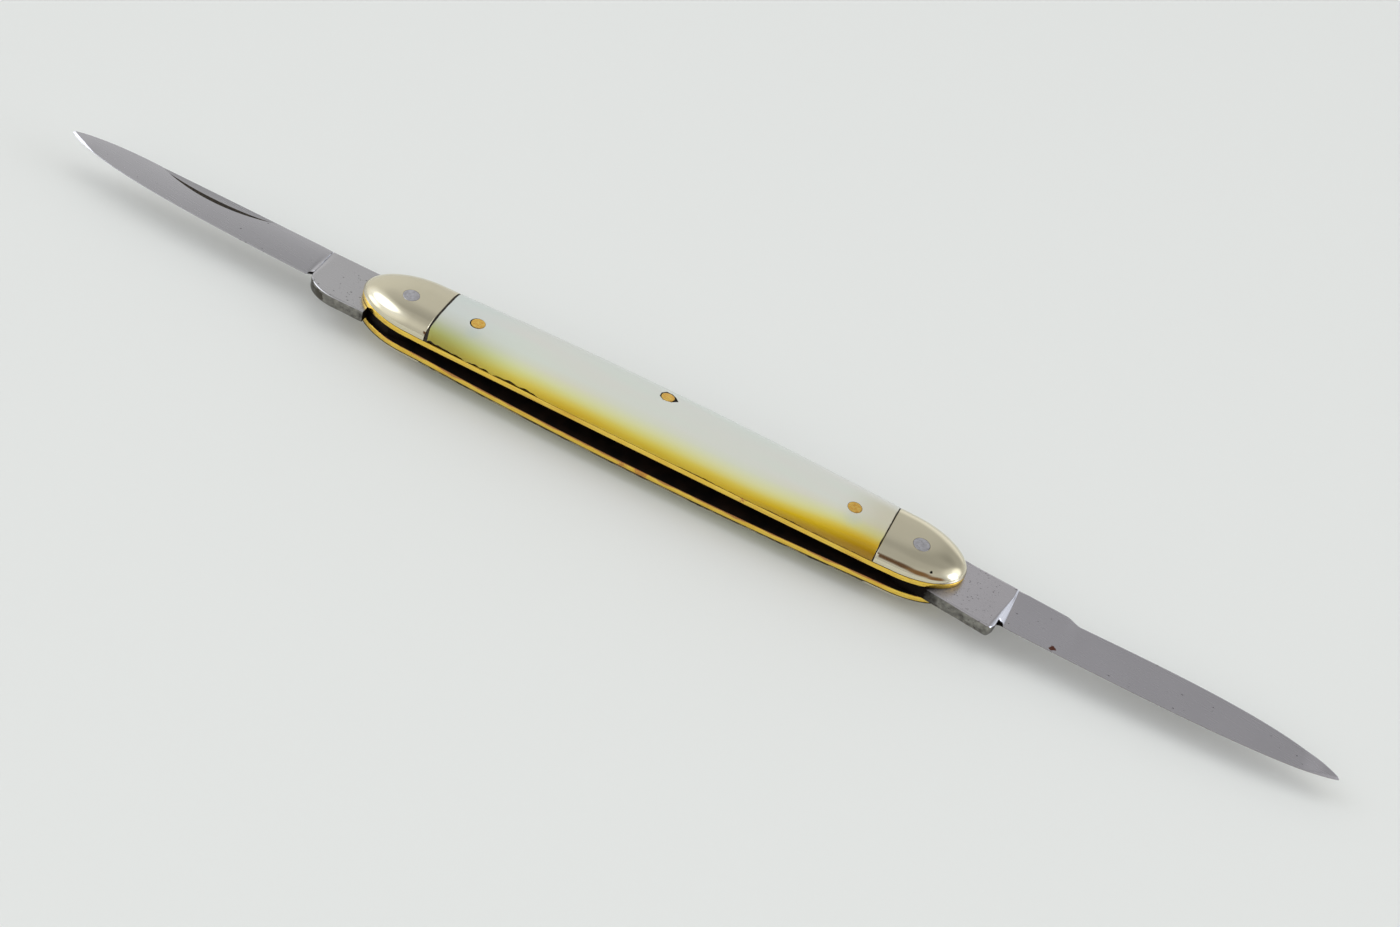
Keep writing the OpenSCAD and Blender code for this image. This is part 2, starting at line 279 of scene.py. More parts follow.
def piece(name, mesh, materials, slot, body, *nodes, sharp=32):
    """A finished piece: shrunk to metres, shaded, dressed, and riding on its body."""
    mesh.name = name
    mesh.transform(Matrix.Scale(MM, 4))
    for material in materials:
        mesh.materials.append(material)
    mesh.polygons.foreach_set("use_smooth", [True] * len(mesh.polygons))
    mesh.set_sharp_from_angle(angle=math.radians(sharp))
    o = bpy.data.objects.new(name, mesh)
    bpy.context.scene.collection.objects.link(o)
    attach(o, body)
    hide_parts(*nodes)


# Nodes

def fill(tree, inputs, values):
    """A node's inputs, each linked to a socket or given a value."""
    for name, value in values.items():
        if isinstance(value, bpy.types.NodeSocket):
            tree.links.new(value, inputs[name])
        else:
            inputs[name].default_value = value


def put(tree, kind, values=None, **settings):
    """A shader node, with its settings and its inputs filled."""
    node = tree.nodes.new("ShaderNode" + kind)
    for name, value in settings.items():
        setattr(node, name, value)
    fill(tree, node.inputs, values or {})
    return node


def sums(tree, operation, *values):
    return put(tree, "Math", dict(enumerate(values)), operation=operation).outputs[0]


def product(tree, first, second):
    return sums(tree, "MULTIPLY", first, second)


def bowed(tree, x, reach, middle, end):
    """A width that goes from its middle to its end over a reach, as the handle's and the slot's do."""
    share = sums(tree, "POWER", sums(tree, "DIVIDE", x, reach), 2.0)
    return sums(tree, "MULTIPLY_ADD", share, end - middle, middle)


def moved(tree, operation, place, change):
    """A place with a change added or multiplied, or scaled by it."""
    socket = "Scale" if operation == "SCALE" else 1
    return put(tree, "VectorMath", {0: place, socket: change}, operation=operation).outputs[0]


def parts(tree, place):
    """The x, y and z of a place."""
    return put(tree, "SeparateXYZ", {0: place}).outputs


def speckle(tree, place, scale, detail):
    """Soft noise, as a value and as a colour."""
    return put(tree, "TexNoise", {"Vector": place, "Scale": scale, "Detail": detail}).outputs


def spans(tree, value, from_low, from_high, to_low=0.0, to_high=1.0, kind="LINEAR"):
    """value moved from one range to another, and held within it."""
    sockets = {0: value, 1: from_low, 2: from_high, 3: to_low, 4: to_high}
    return put(tree, "MapRange", sockets, interpolation_type=kind).outputs[0]


def mixed(tree, share, first, second, blend="MIX"):
    """Two colours mixed: 0 is the first, 1 is the second."""
    return put(tree, "Mix", {0: share, 6: first, 7: second}, data_type="RGBA", blend_type=blend).outputs[2]


def shade(red, green, blue):
    """A colour as it is seen, from 0 to 255, as the linear colour a shader takes."""
    values = [v / 255 for v in (red, green, blue)]
    return tuple(v / 12.92 if v < 0.04045 else ((v + 0.055) / 1.055) ** 2.4 for v in values) + (1.0,)


def stained(tree, colour, mask, stain, strength=1.0):
    """The colour with a (red, green, blue) stain over it where mask is 1."""
    if strength < 1:
        mask = product(tree, mask, strength)
    return mixed(tree, mask, colour, shade(*stain))


def ramp(tree, value, *stops):
    """A colour ramp through stops of (place, red, green, blue)."""
    node = put(tree, "ValToRGB", {0: value})
    elements = node.color_ramp.elements
    while len(elements) < len(stops):
        elements.new(0.5)
    for element, (place, *colour) in zip(elements, stops):
        element.position = place
        element.color = shade(*colour)
    return node.outputs[0]


def effect(name, inputs, outputs):
    """An empty node group with named inputs and outputs."""
    group = bpy.data.node_groups.new(name, "ShaderNodeTree")
    for label, value in inputs.items():
        kind = "NodeSocketVector" if isinstance(value, tuple) else "NodeSocketFloat"
        group.interface.new_socket(label, in_out="INPUT", socket_type=kind).default_value = value
    for label, kind in outputs.items():
        group.interface.new_socket(label, in_out="OUTPUT", socket_type="NodeSocket" + kind)
    return group, group.nodes.new("NodeGroupInput").outputs, group.nodes.new("NodeGroupOutput").inputs


def used(tree, group, **values):
    """The outputs of an effect placed in a material, with its own values."""
    return put(tree, "Group", values, node_tree=group).outputs


def place_in_mm(tree):
    """A point's place on its piece, in millimetres."""
    return moved(tree, "SCALE", put(tree, "TexCoord").outputs["Object"], 1 / MM)


def pits_effect():
    """Small sharp specks, gathered in clusters."""
    group, given, result = effect(
        "pits", {"Size": 0.2, "Share": 0.2, "Clusters": 3.0, "Shift": 0.0}, {"Mask": "Float"})
    place = moved(group, "ADD", place_in_mm(group), given["Shift"])
    place = moved(group, "MULTIPLY", place, (0.6, 1.0, 1.0))
    bend = moved(group, "SCALE", speckle(group, place, 6.0, 3.0)["Color"], 0.12)
    place = moved(group, "ADD", place, bend)
    density = sums(group, "DIVIDE", 1.0, given["Size"])
    cell = put(group, "TexVoronoi", {"Vector": place, "Scale": density}).outputs
    chance, bulk, _ = put(group, "SeparateColor", {0: cell["Color"]}).outputs
    crowd = speckle(group, place, sums(group, "DIVIDE", 1.0, given["Clusters"]), 2.0)[0]
    share = product(group, given["Share"], spans(group, crowd, 0.42, 0.68))
    chosen = sums(group, "LESS_THAN", chance, share)
    edge = sums(group, "SUBTRACT", spans(group, bulk, 0.0, 1.0, 0.18, 0.42), cell["Distance"])
    group.links.new(product(group, spans(group, edge, -0.05, 0.2), chosen), result["Mask"])
    return group


def mark_effect():
    """One ragged mark at a place, such as a rust spot."""
    group, given, result = effect(
        "mark", {"Place": (0.0, 0.0, 0.0), "Radius": 0.5, "Ragged": 0.3, "Soft": 0.06}, {"Mask": "Float"})
    place = place_in_mm(group)
    away = put(group, "VectorMath", {0: place, 1: given["Place"]}, operation="DISTANCE").outputs["Value"]
    rough = sums(group, "SUBTRACT", speckle(group, place, 4.0, 4.0)[0], 0.5)
    reach = sums(group, "ADD", away, product(group, rough, given["Ragged"]))
    edge = sums(group, "SUBTRACT", given["Radius"], reach)
    group.links.new(spans(group, edge, 0.0, given["Soft"]), result["Mask"])
    return group


def polish_effect():
    """Fine lines left along the knife by polishing, from 0 to 1."""
    group, given, result = effect(
        "polish lines", {"Pitch": 0.1, "Length": 6.0, "Turn": 0.0}, {"Lines": "Float"})
    turned = put(group, "VectorRotate", {"Vector": place_in_mm(group), "Angle": given["Turn"]},
                 rotation_type="Z_AXIS").outputs[0]
    along = sums(group, "DIVIDE", 1.0, given["Length"])
    across = sums(group, "DIVIDE", 1.0, given["Pitch"])
    stretch = put(group, "CombineXYZ", {0: along, 1: across, 2: across}).outputs[0]
    place = moved(group, "MULTIPLY", turned, stretch)
    lines = put(group, "TexNoise", {"Vector": place, "Scale": 1.0, "Detail": 3.0, "Roughness": 0.6})
    group.links.new(spans(group, lines.outputs[0], 0.3, 0.7), result["Lines"])
    return group


def cloud_effect():
    """Soft uneven patches, from 0 to 1."""
    group, given, result = effect("clouds", {"Size": 3.0, "Contrast": 0.5, "Shift": 0.0}, {"Cloud": "Float"})
    place = moved(group, "ADD", place_in_mm(group), given["Shift"])
    value = speckle(group, place, sums(group, "DIVIDE", 1.0, given["Size"]), 3.0)[0]
    low = sums(group, "MULTIPLY_ADD", given["Contrast"], -0.3, 0.5)
    high = sums(group, "MULTIPLY_ADD", given["Contrast"], 0.3, 0.5)
    group.links.new(spans(group, value, low, high), result["Cloud"])
    return group


def nacre_effect():
    """The colour of mother-of-pearl cut through its golden edge, by distance from the slot edge."""
    group, given, result = effect("nacre", {}, {"Color": "Color"})
    place = place_in_mm(group)
    x, y, z = parts(group, place)
    depth = sums(group, "ADD", y, bowed(group, x, round_x, middle_width, end_width))
    stretch = moved(group, "MULTIPLY", place, (0.06, 0.35, 0.35))
    drift = product(group, sums(group, "SUBTRACT", speckle(group, stretch, 1.0, 1.5)[0], 0.5), 0.8)
    # The golden band turns olive at the master's end, and widens and deepens at the pen's
    wider = spans(group, x, 10.0, 27.0, 0.6, -0.3, "SMOOTHSTEP")
    depth = sums(group, "ADD", sums(group, "ADD", depth, drift), wider)
    across = sums(group, "DIVIDE", depth, 2 * middle_width)
    gold = ramp(
        group, across, (0.00, 164, 128, 0), (0.05, 202, 170, 14), (0.09, 208, 190, 78),
        (0.13, 207, 203, 126), (0.17, 207, 208, 152), (0.23, 207, 210, 173), (0.30, 207, 209, 190),
        (0.41, 207, 210, 199), (0.85, 207, 210, 202), (1.00, 202, 211, 202))
    olive = ramp(
        group, across, (0.00, 120, 100, 20), (0.06, 150, 140, 48), (0.13, 160, 160, 84),
        (0.17, 167, 170, 110), (0.22, 174, 179, 140), (0.30, 186, 191, 171), (0.40, 197, 201, 191),
        (0.52, 201, 207, 201), (1.00, 204, 210, 205))
    colour = mixed(group, spans(group, x, -15.0, -27.5, 0.0, 1.0, "SMOOTHSTEP"), gold, olive)
    # Pink towards the pen's joint, and a faint play of pink and green all over
    blush = product(group, spans(group, x, 21.0, 27.5, 0.0, 1.0, "SMOOTHSTEP"), spans(group, y, 3.6, 2.0))
    colour = mixed(group, blush, colour, (0.88, 0.81, 0.7, 1.0), "MULTIPLY")
    play = spans(group, speckle(group, stretch, 1.4, 0.0)[0], 0.2, 0.8)
    tint = mixed(group, play, (1.02, 0.985, 0.99, 1.0), (0.985, 1.015, 1.0, 1.0))
    colour = mixed(group, 1.0, colour, tint, "MULTIPLY")
    # The pile side, which faces the floor, is painted greyer towards its front edge as shade
    pile_side_shade = product(group, sums(group, "LESS_THAN", z, mid_z), spans(group, depth, 3.0, 0.5))
    group.links.new(stained(group, colour, pile_side_shade, (134, 130, 108)), result["Color"])
    return group


pits = pits_effect()
mark = mark_effect()
polish_lines = polish_effect()
clouds = cloud_effect()
nacre = nacre_effect()


# Materials

def material(name):
    """A new material, its tree, and its shader's inputs."""
    made = bpy.data.materials.new(name)
    made.use_nodes = True
    made.node_tree.nodes.clear()
    shader = put(made.node_tree, "BsdfPrincipled")
    out = put(made.node_tree, "OutputMaterial")
    made.node_tree.links.new(shader.outputs[0], out.inputs[0])
    return made, made.node_tree, shader.inputs


def raised(tree, height, strength, depth):
    """A bump's normal, its depth in millimetres."""
    return put(tree, "Bump", {"Height": height, "Strength": strength, "Distance": depth * MM}).outputs[0]


def pearl_shell():
    made, tree, shader = material("pearl shell")
    colour = used(tree, nacre)["Color"]
    # A bluish bruise in front of each pin
    for x in (-23.3, 23.9):
        bruise = used(tree, mark, Place=(x, -1.9, 7.4), Radius=1.3, Ragged=0.8, Soft=1.3)["Mask"]
        colour = stained(tree, colour, bruise, (172, 186, 186), 0.4)
    fill(tree, shader, {"Base Color": colour, "Roughness": 0.26, "Specular IOR Level": 0.35,
                        "Coat Weight": 0.2, "Coat Roughness": 0.14})
    return made


def packed_dirt():
    """Old dirt and polish that fills joints and chips, and darkens the nail nicks' creases as dirt and as
    painted shade.
    """
    made, tree, shader = material("packed dirt")
    patch = used(tree, clouds, Size=0.3, Contrast=0.6)["Cloud"]
    fill(tree, shader, {"Base Color": ramp(tree, patch, (0.2, 22, 18, 14), (0.8, 58, 50, 36)),
                        "Roughness": 0.85, "Normal": raised(tree, patch, 0.8, 0.04)})
    return made


def nickel_silver():
    made, tree, shader = material("nickel silver")
    lines = used(tree, polish_lines, Pitch=0.16, Length=7.0, Turn=0.05)["Lines"]
    patch = used(tree, clouds, Size=3.0, Contrast=0.7)["Cloud"]
    colour = mixed(tree, patch, shade(217, 210, 184), shade(220, 213, 188))
    pit = used(tree, mark, Place=(34.05, -3.1, 6.6), Radius=0.2, Ragged=0.15)["Mask"]
    fill(tree, shader, {"Base Color": stained(tree, colour, pit, (30, 24, 20)), "Metallic": 1.0,
                        "Roughness": spans(tree, lines, 0.0, 1.0, 0.09, 0.16),
                        "Normal": raised(tree, lines, 0.05, 0.004)})
    return made


def liner_brass():
    made, tree, shader = material("liner brass")
    lines = used(tree, polish_lines, Pitch=0.13, Length=14.0)["Lines"]
    patch = used(tree, clouds, Size=2.2, Contrast=0.5)["Cloud"]
    colour = mixed(tree, patch, shade(248, 214, 96), shade(243, 203, 84))
    colour = stained(tree, colour, spans(tree, lines, 0.5, 1.0, 0.0, 0.55), (182, 122, 54))
    # Brown tarnish creeps from the slot over the liners' inner edges
    x, y, z = parts(tree, place_in_mm(tree))
    inner = sums(tree, "SUBTRACT", sums(tree, "ABSOLUTE", sums(tree, "SUBTRACT", z, mid_z)),
                 bowed(tree, x, joint_x, slot_middle, slot_end))
    creep = used(tree, clouds, Size=3.0, Contrast=0.6, Shift=2.0)["Cloud"]
    creep = product(tree, creep, spans(tree, z, mid_z + 0.4, mid_z - 0.4, 0.3, 1.0))
    reach = spans(tree, creep, 0.2, 1.0, 0.04, 0.3)
    rim = spans(tree, sums(tree, "SUBTRACT", inner, reach), 0.06, -0.02)
    colour = stained(tree, colour, rim, (176, 108, 84), 0.75)
    for place, radius in (((12.3, -4.9, 5.5), 0.45), ((0.5, -5.0, 2.4), 0.9), ((-1.8, -5.0, 2.35), 0.6)):
        spot = used(tree, mark, Place=place, Radius=radius, Ragged=2.2, Soft=0.3)["Mask"]
        colour = stained(tree, colour, spot, (186, 104, 76), 0.6)
    fill(tree, shader, {"Base Color": colour, "Metallic": 1.0,
                        "Roughness": spans(tree, lines, 0.0, 1.0, 0.16, 0.3),
                        "Normal": raised(tree, lines, 0.25, 0.01)})
    return made


def slot_tarnish_and_shade():
    """The dark inside of the slot: black with oil and age, and painted darker still, with little sheen, as
    the slot's shade.
    """
    made, tree, shader = material("slot tarnish")
    patch = used(tree, clouds, Size=1.6, Contrast=0.6)["Cloud"]
    fill(tree, shader, {"Base Color": ramp(tree, patch, (0.2, 10, 7, 5), (0.9, 26, 17, 11)),
                        "Roughness": 0.7, "Specular IOR Level": 0.12,
                        "Normal": raised(tree, patch, 0.4, 0.03)})
    return made


def blade_steel(name, bright, marks, crowds, pivot=None):
    """Polished steel with pits: bright is its shade, on the blade and on the tang, marks are single
    spots, some of them painted shade, crowds are (size, share, clusters, shift, from x, to x) of the
    pitting, and pivot is the (x, y, radius, fade) of the part inside the slot that is painted near
    black, for the slot's oil and for its shade."""
    made, tree, shader = material(name)
    lines = used(tree, polish_lines, Pitch=0.12, Length=5.0, Turn=0.12)["Lines"]
    x = parts(tree, place_in_mm(tree))[0]
    blade, tang = bright
    colour = mixed(tree, spans(tree, sums(tree, "ABSOLUTE", x), 44.2, 43.4), shade(*blade), shade(*tang))
    patch = used(tree, clouds, Size=5.0, Contrast=0.8)["Cloud"]
    colour = stained(tree, colour, patch, (120, 118, 120), 0.06)
    # The sides are less polished than the faces
    facing = parts(tree, put(tree, "TexCoord").outputs["Normal"])
    flank = spans(tree, sums(tree, "ABSOLUTE", facing[2]), 0.7, 0.4)
    mottle = used(tree, clouds, Size=0.7, Contrast=0.7, Shift=5.0)["Cloud"]
    colour = mixed(tree, flank, colour, mixed(tree, mottle, shade(88, 86, 82), shade(148, 146, 139)))
    # Faces that turn towards +X, on the pen's plunge, get a painted bluish-white highlight
    painted_glint = product(tree, spans(tree, facing[0], 0.22, 0.45), sums(tree, "SUBTRACT", 1.0, flank))
    colour = stained(tree, colour, painted_glint, (240, 243, 255))
    hollow = product(tree, flank, used(tree, pits, Size=0.35, Share=0.5, Clusters=1.5)["Mask"])
    for size, share, clusters, shift, start, finish in crowds:
        specks = used(tree, pits, Size=size, Share=share, Clusters=clusters, Shift=shift)["Mask"]
        inside = product(tree, sums(tree, "GREATER_THAN", x, start), sums(tree, "LESS_THAN", x, finish))
        hollow = sums(tree, "MAXIMUM", hollow, product(tree, specks, inside))
    colour = stained(tree, colour, hollow, (62, 56, 56), 0.7)
    for place, radius, ragged, stain in marks:
        spot = used(tree, mark, Place=place, Radius=radius, Ragged=ragged)["Mask"]
        colour = stained(tree, colour, spot, stain)
    rough = spans(tree, lines, 0.0, 1.0, 0.24, 0.28)
    metal = {"Metallic": 1.0}
    if pivot:
        pin_x, pin_y, reach, soft = pivot
        # Round the pivot the steel is painted near black and dull: oil from the slot, and painted shade
        # inside it
        dark = used(tree, mark, Place=(pin_x, pin_y, mid_z), Radius=reach, Ragged=0.8, Soft=soft)["Mask"]
        colour = stained(tree, colour, dark, (16, 12, 10))
        rough = sums(tree, "ADD", rough, product(tree, dark, 0.5))
        metal = {"Metallic": spans(tree, dark, 0.0, 1.0, 1.0, 0.0), "Specular IOR Level": 0.05}
    relief = sums(tree, "SUBTRACT", product(tree, lines, 0.02), hollow)
    fill(tree, shader, {"Base Color": colour, "Normal": raised(tree, relief, 0.2, 0.02),
                        "Roughness": sums(tree, "ADD", rough, product(tree, hollow, 0.3)), **metal})
    return made


def pin_metal(name, light, dark, rough):
    made, tree, shader = material(name)
    patch = used(tree, clouds, Size=0.35, Contrast=0.6)["Cloud"]
    specks = used(tree, pits, Size=0.16, Share=0.35, Clusters=0.6)["Mask"]
    colour = mixed(tree, patch, shade(*light), shade(*dark))
    colour = stained(tree, colour, specks, [v * 0.6 for v in dark])
    fill(tree, shader, {"Base Color": colour, "Metallic": 1.0,
                        "Roughness": spans(tree, patch, 0.0, 1.0, rough, rough + 0.12),
                        "Normal": raised(tree, patch, 0.2, 0.01)})
    return made


def pale_floor():
    made, tree, shader = material("pale floor")
    fill(tree, shader, {"Base Color": shade(229, 231, 227), "Roughness": 0.9, "Specular IOR Level": 0.2})
    return made


pearl = pearl_shell()
dirt_and_shade = packed_dirt()
nickel = nickel_silver()
brass = liner_brass()
tarnish_and_shade = slot_tarnish_and_shade()
master_steel = blade_steel(
    "master blade steel", ((197, 196, 199), (194, 193, 194)),
    [((-43.1, -2.6, 3.75), 0.9, 1.0, (72, 68, 60)), ((-41.9, -3.5, 3.7), 0.85, 1.2, (78, 74, 66)),
     # The last mark is painted shade: the black inside of the choil
     ((-44.2, -1.15, 3.8), 0.5, 0.1, (16, 13, 12))],
    [(0.24, 0.06, 4.0, 3.0, -80.0, -30.0), (0.17, 0.5, 0.8, 6.0, -40.5, -35.0)],
    (-pivot_x, pivot_y, 3.9, 0.2))
pen_steel = blade_steel(
    "pen blade steel", ((200, 198, 203), (203, 200, 204)),
    [((49.3, -2.55, 4.15), 0.45, 0.6, (112, 70, 58)), ((43.87, 1.64, 4.68), 0.22, 0.25, (30, 26, 26)),
     # The last mark is painted shade: the black wall inside the choil
     ((42.9, -2.9, mid_z - 0.3), 0.7, 0.1, (16, 13, 12))],
    [(0.24, 0.05, 5.0, 8.0, 30.0, 90.0), (0.17, 0.75, 0.9, 2.0, 36.0, 42.0)],
    (pivot_x, pivot_y, 6.0, 2.0))
spring_metal = blade_steel(
    "spring steel", ((180, 178, 180), (180, 178, 180)), [], [(0.4, 0.1, 3.0, 1.0, -40.0, 40.0)])
pin_steel = pin_metal("pivot pin steel", (203, 203, 208), (180, 178, 182), 0.3)
pin_brass = pin_metal("scale pin brass", (250, 212, 112), (232, 176, 82), 0.22)


# Handle

def crown_spreads():
    """Spreads from the top of the edge wall to the crest, close together where the crown is steep."""
    shoulder = 0.72
    shoulder_count = 16
    crest_count = 18
    power, fullness = crown_forms[MARK_SIDE]
    rises = [shoulder * i / shoulder_count for i in range(shoulder_count + 1)]
    spreads = [(1 - rise ** (1 / fullness)) ** (1 / power) for rise in rises]
    last = spreads[-1]
    return spreads + [last * (1 - i / crest_count) for i in range(1, crest_count + 1)]


spreads = crown_spreads()
dirt_chamfer = 0.09
joint_softening = 0.035


def bolster_ring(spread, side, foot=None):
    """Round the bolster from its joint's slot edge, by the rounded end, to its back edge: on the
    crown, or at a height over its foot."""
    def height(x):
        return cover_base(x) + (crown_rise(spread, side, x) if foot is None else foot)

    stations = [bolster_x, bolster_x + joint_softening] + steps(bolster_x + 0.4, round_x, 0.35)
    sides = []
    for x in stations:
        lower = joint_softening if foot is None and x == bolster_x else 0.0
        sides.append((x, spread * width_at(x), height(x) - lower))
    rounded = []
    for angle in steps(0, 90, 2.5)[:-1]:
        a = math.radians(90 - angle)
        x = round_x + end_round * spread * math.cos(a)
        rounded.append((x, spread * end_width * math.sin(a), height(x)))
    tip = round_x + end_round * spread
    back = sides + rounded[1:] + [(tip, 0.0, height(tip))]
    front = [(x, -y, z) for x, y, z in back[:-1]]
    return front + back[::-1]


def bolster_shape(side, pin_gap):
    """The pen's bolster, about the middle plane and facing up."""
    edge = 1 - dirt_chamfer / end_width
    feet = ((0.0, 0.0), (edge, 0.0), (1.0, dirt_chamfer))
    rings = [bolster_ring(s, side, foot) for s, foot in feet] + [bolster_ring(s, side) for s in spreads]
    n = len(rings[0])
    faces = []
    numbers = []
    for i in range(len(rings) - 1):
        for j in range(n - 1):
            faces.append((i * n + j, i * n + j + 1, (i + 1) * n + j + 1, (i + 1) * n + j))
            numbers.append(1 if i == 1 else 0)
        faces.append((i * n, (i + 1) * n, (i + 2) * n - 1, (i + 1) * n - 1))
        numbers.append(0)
    mesh = raw_mesh([p for r in rings for p in r], faces, numbers)
    return cut(mesh, through(pivot_x, pivot_y, pivot_pin_radius + pin_gap), 1)


def joint_dirt(side, reach):
    """The dirt between a bolster and its scale, a little below their surfaces."""
    sink = 0.05
    overlap = 0.01
    sections = []
    for x in (bolster_x - reach, bolster_x + overlap):
        front = [(x, -s * (width_at(x) - sink), cover_base(x) + crown_rise(s, side) - sink) for s in spreads]
        back = [(px, -py, pz) for px, py, pz in front[:-1]][::-1]
        foot = width_at(x) - sink
        sections.append([(x, -foot, cover_base(x))] + front + back + [(x, foot, cover_base(x))])
    return loft(sections, [1] * len(sections[0]))


def lengthened(mesh):
    """The mesh with the master's end of the handle, which is the longer one, drawn out."""
    start = -33.0
    more = 0.32
    for v in mesh.vertices:
        if v.co.x < start:
            v.co.x -= more * ((start - v.co.x) / (half_length + start)) ** 2
    return mesh


def make_bolsters():
    for side, word in SIDES:
        for end, blade, reach, gap in ((MASTER_END, "master", 0.5, 0.012), (PEN_END, "pen", 0.35, 0.03)):
            name = f"{word}_{blade}_bolster"
            filler = joint_dirt(side, reach)
            filler.polygons.foreach_set("material_index", [1] * len(filler.polygons))
            mesh = lengthened(placed(joined(bolster_shape(side, gap), filler), side, end))
            piece(f"{name}_dressed", mesh, [nickel, dirt_and_shade], "nickel_silver", "handle", name)


def scale_joint(side, end, y):
    """Where a scale ends at height y across the handle, with the wear of its joint."""
    if end == MASTER_END:
        corner = ease((-y - 3.6) / 1.2)
        return 0.14 + 0.05 * ripple(y, 1.2, 3.0 + side) + 0.25 * corner
    return 0.02 + 0.09 * abs(ripple(y, 0.9, 7.0 + side))


def chip_height(x, side):
    """Height of the ragged chips along a scale's lower edge."""
    if side == MARK_SIDE:
        worn = 0.3 * window(x, -28.6, -14.0, 1.5) + 0.08 * window(x, 5.0, 27.8, 2.0)
    else:
        worn = 0.12
    chipped = 0.75 + 1.1 * ripple(x, 2.3, 11.0 * side) + 1.0 * ripple(x, 0.7, 5.0 * side)
    return 0.04 + worn * max(0.0, chipped)


def scale_section(x, side):
    """A scale across the handle at x: its foot, chips, edge wall and crown."""
    width = width_at(x)
    base = cover_base(x)
    chip = chip_height(x, side)
    front = [(-s * width, max(crown_rise(s, side), chip + 0.01 * i)) for i, s in enumerate(spreads)]
    outline = [(-(width - 0.3), 0.0), (-width + 0.02, chip)] + front
    outline += [(s * width, crown_rise(s, side)) for s in spreads[:-1][::-1]]
    outline += [(width, dirt_chamfer), (width - dirt_chamfer, 0.0)]
    return [(x, y, base + h) for y, h in outline]


def scale_shape(side):
    sections = [scale_section(x, side) for x in steps(-joint_x, joint_x, 0.14)]
    near = len(sections) - 1
    soft_above = cover_base(joint_x) + 0.3
    deepest_wear = 0.6
    for i, end in ((0, MASTER_END), (near, PEN_END)):
        soft = [Vector(p) for p in sections[i]]
        for p in soft:
            p.x -= end * scale_joint(side, end, p.y)
            p.z -= joint_softening if p.z > soft_above else 0.0
        sections[i] = [tuple(p) for p in soft]
        inner = 1 if i == 0 else near - 1
        shift = end * joint_softening
        sections[inner] = [(q.x - shift, y, z) for q, (x, y, z) in zip(soft, sections[inner])]
    # Stations that the worn joint has passed are left out
    kept = [s for s in sections[2:-2] if abs(s[0][0]) < joint_x - deepest_wear]
    kinds = [1] + [0] * (len(sections[0]) - 3) + [1, 0]
    return loft(sections[:2] + kept + sections[-2:], kinds)


def chipped_pocket():
    """The chipped hole round the spring's pin, from the angles and radii of its corners."""
    angles = [math.radians(a) for a in (0, 32, 75, 118, 165, 205, 250, 318)]
    radii = (1.3, 0.98, 0.93, 1.05, 0.95, 0.98, 0.88, 0.9)
    x, y = spring_pin_place
    return [(x + r * math.cos(a), y + r * math.sin(a)) for a, r in zip(angles, radii)]


def make_scales():
    # Dirt fills the gap round each pin. The master end's is wider, and off centre
    pen_gap = 0.03
    master_gap = 0.07
    off_centre = 0.05
    spring_gap = 0.015
    pocket_depth = 0.12
    for side, word in SIDES:
        mesh = scale_shape(side)
        x, y = scale_pin_place
        mesh = cut(mesh, through(x, y, scale_pin_radius + pen_gap), 1)
        mesh = cut(mesh, through(-x - off_centre, y - off_centre, scale_pin_radius + master_gap), 1)
        x, y = spring_pin_place
        if side == MARK_SIDE:
            pocket = prism(chipped_pocket(), lambda px, py: crown_at(px, py) - pocket_depth, 2 * top_z)
            mesh = cut(mesh, pocket, 1)
        mesh = cut(mesh, through(x, y, spring_pin_radius + spring_gap), 1)
        piece(f"{word}_scale_dressed", placed(mesh, side), [pearl, dirt_and_shade], "pearl", "handle", f"{word}_scale")


def handle_stations():
    """Places along the handle, close together round its ends."""
    turn = [round_x + end_round * math.sin(math.radians(a)) for a in steps(0, 90, 3)]
    half = steps(0, round_x, 0.5) + turn[1:]
    return [-x for x in half[:0:-1]] + half


def edge_normal(x):
    """The way out of the handle's back edge at x."""
    if abs(x) <= round_x:
        slope = -2 * (middle_width - end_width) * x / round_x ** 2
        return Vector((-slope, 1.0)).normalized()
    out = (abs(x) - round_x) / end_round
    normal = Vector((out / end_round, math.sqrt(max(0.0, 1 - out ** 2)) / end_width)).normalized()
    return Vector((math.copysign(normal.x, x), normal.y))


def handle_loop(inset, height):
    """The handle's outline, moved in, at a height above the middle plane."""
    back = []
    for x in handle_stations():
        point = Vector((x, width_at(x))) - edge_normal(x) * inset
        back.append((point.x, point.y, height(x)))
    back[0] = (back[0][0], 0.0, back[0][2])
    back[-1] = (back[-1][0], 0.0, back[-1][2])
    front = [(x, -y, z) for x, y, z in back[1:-1]]
    return back[::-1] + front


def liner_shape():
    """The mark side's liner, about the middle plane, with its long edges rubbed round."""
    below = rubbed(0.07)
    rows = below + [(inset, liner_thickness - rise) for inset, rise in below[::-1]]
    mesh = stack([handle_loop(inset, lambda x: slot_at(x) + rise) for inset, rise in rows],
                 [1, 1] + [0] * (len(rows) - 1))
    for x, y, radius in pin_places():
        mesh = cut(mesh, through(x, y, radius + snug_gap), 1)
    return mesh


def pin_places():
    """(x, y, radius) of every pin."""
    places = [(spring_pin_place[0], spring_pin_place[1], spring_pin_radius)]
    for end in (MASTER_END, PEN_END):
        places.append((end * pivot_x, pivot_y, pivot_pin_radius))
        places.append((end * scale_pin_place[0], scale_pin_place[1], scale_pin_radius))
    return places


def make_liners():
    for side, word in SIDES:
        mesh = lengthened(placed(liner_shape(), side))
        piece(f"{word}_liner_dressed", mesh, [brass, tarnish_and_shade], "liner_brass", "handle", f"{word}_liner")


